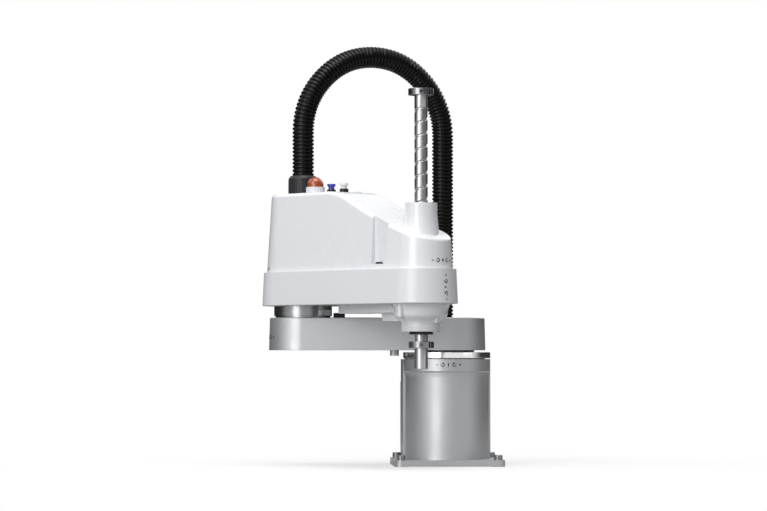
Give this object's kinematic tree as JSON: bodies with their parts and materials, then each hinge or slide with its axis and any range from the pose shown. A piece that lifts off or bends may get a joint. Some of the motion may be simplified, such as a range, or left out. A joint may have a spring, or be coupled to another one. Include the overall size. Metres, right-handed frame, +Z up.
{
  "type": "four-axis selective-compliance robot arm",
  "caption": "Table-mounted robot arm with two horizontal links, a hollow ball-screw spline shaft that lifts and turns a tool, and an arched cable duct.",
  "frame": {"origin": "on the first axis at the base's mounting face", "axes": "+Z up along the first axis, -Y the robot's front, +Y its connector side"},
  "size_m": [0.3734, 0.4119, 0.6607],
  "materials": {
    "silver_paint": "satin metallic grey",
    "white_paint": "satin off-white",
    "white_plastic": "satin off-white",
    "polished_steel": "polished",
    "plain_steel": "ground",
    "black_steel": "black",
    "bare_aluminium": "milled",
    "black_plastic": "matte",
    "grey_plastic": "matte",
    "duct_plastic": "ribbed",
    "belt_rubber": "matte",
    "orange_plastic": "gloss"
  },
  "bodies": {
    "base": {"base_casting": "silver_paint", "connector_panel": "plain_steel", "power_connector": "black_plastic", "signal_connector": "black_plastic", "user_connector": "black_plastic", "rear_air_fittings": "black_plastic", "panel_screws": "plain_steel", "base_motor": "black_steel", "base_reducer_ring": "polished_steel", "base_stop_blocks": "black_steel", "base_gland": "grey_plastic", "cable_duct": "duct_plastic"},
    "arm_1": {"arm_1_casting": "silver_paint", "arm_1_lid": "silver_paint", "base_output_disc": "plain_steel", "base_stop_pin": "silver_paint", "elbow_turn_disc": "plain_steel", "elbow_stop_block": "black_steel"},
    "arm_2": {"arm_2_casting": "white_paint", "arm_2_cover": "white_plastic", "cover_screws": "black_steel", "elbow_reducer": "plain_steel", "elbow_motor": "black_steel", "shaft_housing": "white_plastic", "belt_pod": "white_paint", "shaft_seal_ring": "white_plastic", "spline_bearing": "plain_steel", "screw_bearing": "plain_steel", "drive_plate": "bare_aluminium", "lift_motor": "black_steel", "spin_motor": "black_steel", "lift_belt": "belt_rubber", "spin_belt": "belt_rubber", "arm_gland": "grey_plastic", "arm_socket": "black_plastic", "lamp_base": "white_plastic", "lamp_dome": "orange_plastic", "first_air_fitting": "black_plastic", "second_air_fitting": "black_plastic", "button_bezel": "black_plastic"},
    "spline": {"spline_nut": "plain_steel", "shaft_wiper": "black_plastic"},
    "screw": {"screw_nut": "plain_steel"},
    "tool_shaft": {"shaft": "polished_steel", "upper_stop_collar": "polished_steel", "lower_stop_collar": "polished_steel"},
    "lift_pulley": {"lift_motor_pulley": "plain_steel"},
    "spin_pulley": {"spin_motor_pulley": "plain_steel"},
    "button": {"brake_button": "black_plastic"}
  },
  "joints": [
    {"name": "base_turn", "type": "hinge", "parent": "base", "child": "arm_1", "pos_m": [0, 0, 0.17], "axis": [0, 0, 1], "range_deg": [-40, 220], "deforming": ["cable_duct"]},
    {"name": "elbow_turn", "type": "hinge", "parent": "arm_1", "child": "arm_2", "pos_m": [-0.225, 0, 0.235], "axis": [0, 0, 1], "range_deg": [-267, 9], "deforming": ["cable_duct"]},
    {"name": "tool_turn", "type": "hinge", "parent": "arm_2", "child": "spline", "pos_m": [-0.05194, -0.21372, 0.25], "axis": [0, 0, 1], "range_deg": [-360, 360]},
    {"name": "lift", "type": "slide", "parent": "spline", "child": "tool_shaft", "axis": [0, 0, 1], "range_m": [-0.1605, 0.0095]},
    {"name": "nut_turn", "type": "hinge", "parent": "spline", "child": "screw", "pos_m": [-0.05194, -0.21372, 0.3], "axis": [0, 0, 1], "range_deg": [-180, 2900]},
    {"name": "lift_pulley_turn", "type": "hinge", "parent": "arm_2", "child": "lift_pulley", "pos_m": [-0.12116, -0.12823, 0.29], "axis": [0, 0, 1], "range_deg": [-450, 7300]},
    {"name": "spin_pulley_turn", "type": "hinge", "parent": "arm_2", "child": "spin_pulley", "pos_m": [-0.16333, -0.07616, 0.27], "axis": [0, 0, 1], "range_deg": [-905, 905]},
    {"name": "brake_press", "type": "slide", "parent": "arm_2", "child": "button", "axis": [0, 0, -1], "range_m": [0, 0.002], "stiffness_N_per_m": 500, "springref_m": -0.001}
  ],
  "couplings": [
    {"joint": "nut_turn", "follows": "lift", "rad_per_m": -314.16},
    {"joint": "lift_pulley_turn", "follows": "lift", "rad_per_m": -785.4},
    {"joint": "spin_pulley_turn", "follows": "tool_turn", "ratio": 2.5}
  ]
}
